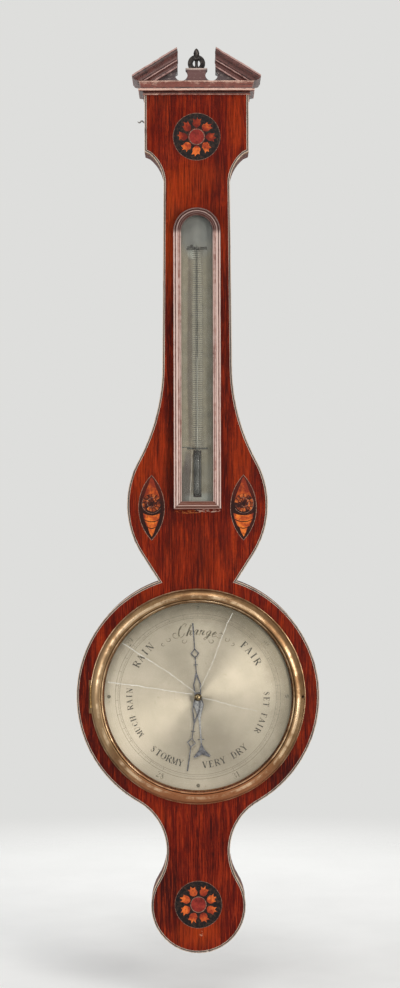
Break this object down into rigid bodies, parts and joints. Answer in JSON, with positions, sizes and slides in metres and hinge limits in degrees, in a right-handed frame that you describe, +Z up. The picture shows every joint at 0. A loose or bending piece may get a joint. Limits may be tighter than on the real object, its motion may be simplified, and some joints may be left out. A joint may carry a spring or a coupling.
{
  "type": "barometer",
  "caption": "Wheel barometer with a banjo-shaped inlaid mahogany case, broken pediment, thermometer box, hinged glazed bezel, silvered dial and a float movement on a siphon tube",
  "frame": {"origin": "centre of the hanging plate's eye, on the wall plane behind the head", "axes": "+Z up along the case, the front faces -Y, +Y points into the wall, +X is to the right as seen from the front"},
  "size_m": [0.26, 0.055, 0.9696],
  "materials": {
    "deal": "plain sawn softwood core of the case",
    "case_wood": "dark stained mahogany, rubbed satin",
    "mahogany_veneer": "figured mahogany veneer, old french polish",
    "worn_moulding": "mahogany moulding with the polish worn pale on its edges",
    "weathered_wood": "bare greyed wood",
    "boxwood": "boxwood stringing and turning, yellowed",
    "ebony": "black stained ground",
    "satinwood": "sand-shaded satinwood inlay under orange polish",
    "old_brass": "lacquered brass, worn and spotted",
    "silvered_brass": "engraved silvered brass, grained in circles on the dial",
    "dark_metal": "dark oxidised iron",
    "blued_steel": "thin steel with its blueing faded to grey",
    "clear_glass": "clear old glass",
    "mercury": "bright liquid metal",
    "silk": "twisted silk thread"
  },
  "bodies": {
    "case": {"front_board": "deal", "left_case_side": "case_wood", "right_case_side": "case_wood", "head_block": "case_wood", "foot_block": "case_wood", "front_veneer": "mahogany_veneer", "box_lines": "boxwood", "ebony_line": "ebony", "horizontal_cornice": "worn_moulding", "left_raking_cornice": "worn_moulding", "right_raking_cornice": "worn_moulding", "tympanum": "weathered_wood", "finial": "dark_metal", "top_patera_ground": "ebony", "top_patera_petals": "satinwood", "top_patera_centre": "mahogany_veneer", "bottom_patera_ground": "ebony", "bottom_patera_petals": "satinwood", "bottom_patera_centre": "mahogany_veneer", "left_shell_ground": "ebony", "left_shell_pieces": "satinwood", "right_shell_ground": "ebony", "right_shell_pieces": "satinwood", "thermometer_frame": "worn_moulding", "thermometer_glass": "clear_glass", "thermometer_scale": "silvered_brass", "thermometer_tube": "clear_glass", "thermometer_mercury": "mercury", "thermometer_clips": "dark_metal", "dial_plate": "silvered_brass", "dial_screws": "dark_metal", "bezel_hinge_fixed_leaf": "old_brass", "bezel_hinge_pin": "old_brass", "arbor_bush": "old_brass", "movement_bridge": "old_brass", "bridge_screws": "dark_metal", "siphon_tube": "clear_glass", "short_limb_mercury": "mercury", "column_mercury": "mercury", "siphon_straps": "old_brass", "door_hinge_fixed_leaves": "old_brass", "door_hinge_pins": "old_brass", "hanging_plate": "dark_metal", "wood_screws": "old_brass"},
    "bezel": {"bezel": "old_brass", "bezel_glass": "clear_glass", "bezel_glass_ring": "old_brass", "bezel_hinge_moving_leaf": "old_brass"},
    "set_hand": {"set_hand": "blued_steel", "set_hand_knob": "old_brass"},
    "hand": {"indicating_hand": "blued_steel", "hand_arbor": "blued_steel", "pulley_wheel": "boxwood"},
    "float": {"float": "clear_glass", "float_thread": "silk"},
    "counterweight": {"counterweight": "old_brass", "counterweight_thread": "silk"},
    "rear_door": {"rear_door": "case_wood", "door_hinge_moving_leaves": "old_brass"},
    "turn_button": {"turn_button": "old_brass"}
  },
  "joints": [
    {"name": "bezel_hinge", "type": "hinge", "parent": "case", "child": "bezel", "pos_m": [-0.1142, -0.041, -0.6853], "axis": [0, 0, -1], "range_deg": [0, 105]},
    {"name": "set_hand_turn", "type": "hinge", "parent": "bezel", "child": "set_hand", "pos_m": [0, -0.0445, -0.6853], "axis": [0, 1, 0], "continuous": true},
    {"name": "hand_turn", "type": "hinge", "parent": "case", "child": "hand", "pos_m": [0, -0.03, -0.6853], "axis": [0, 1, 0], "range_deg": [-150, 158]},
    {"name": "float_slide", "type": "slide", "parent": "case", "child": "float", "axis": [0, 0, 1], "range_m": [-0.0197, 0.0187], "deforming": ["float_thread", "short_limb_mercury"]},
    {"name": "counterweight_slide", "type": "slide", "parent": "case", "child": "counterweight", "axis": [0, 0, 1], "range_m": [-0.0187, 0.0197], "deforming": ["counterweight_thread"]},
    {"name": "rear_door_hinge", "type": "hinge", "parent": "case", "child": "rear_door", "pos_m": [-0.0256, -0.0012, -0.49], "axis": [0, 0, 1], "range_deg": [0, 120]},
    {"name": "turn_button_pivot", "type": "hinge", "parent": "case", "child": "turn_button", "pos_m": [0.0344, -0.0012, -0.6], "axis": [0, 1, 0], "range_deg": [-90, 90]}
  ],
  "couplings": [
    {"joint": "float_slide", "follows": "hand_turn", "m_per_rad": -0.00707},
    {"joint": "counterweight_slide", "follows": "hand_turn", "m_per_rad": 0.00707}
  ]
}
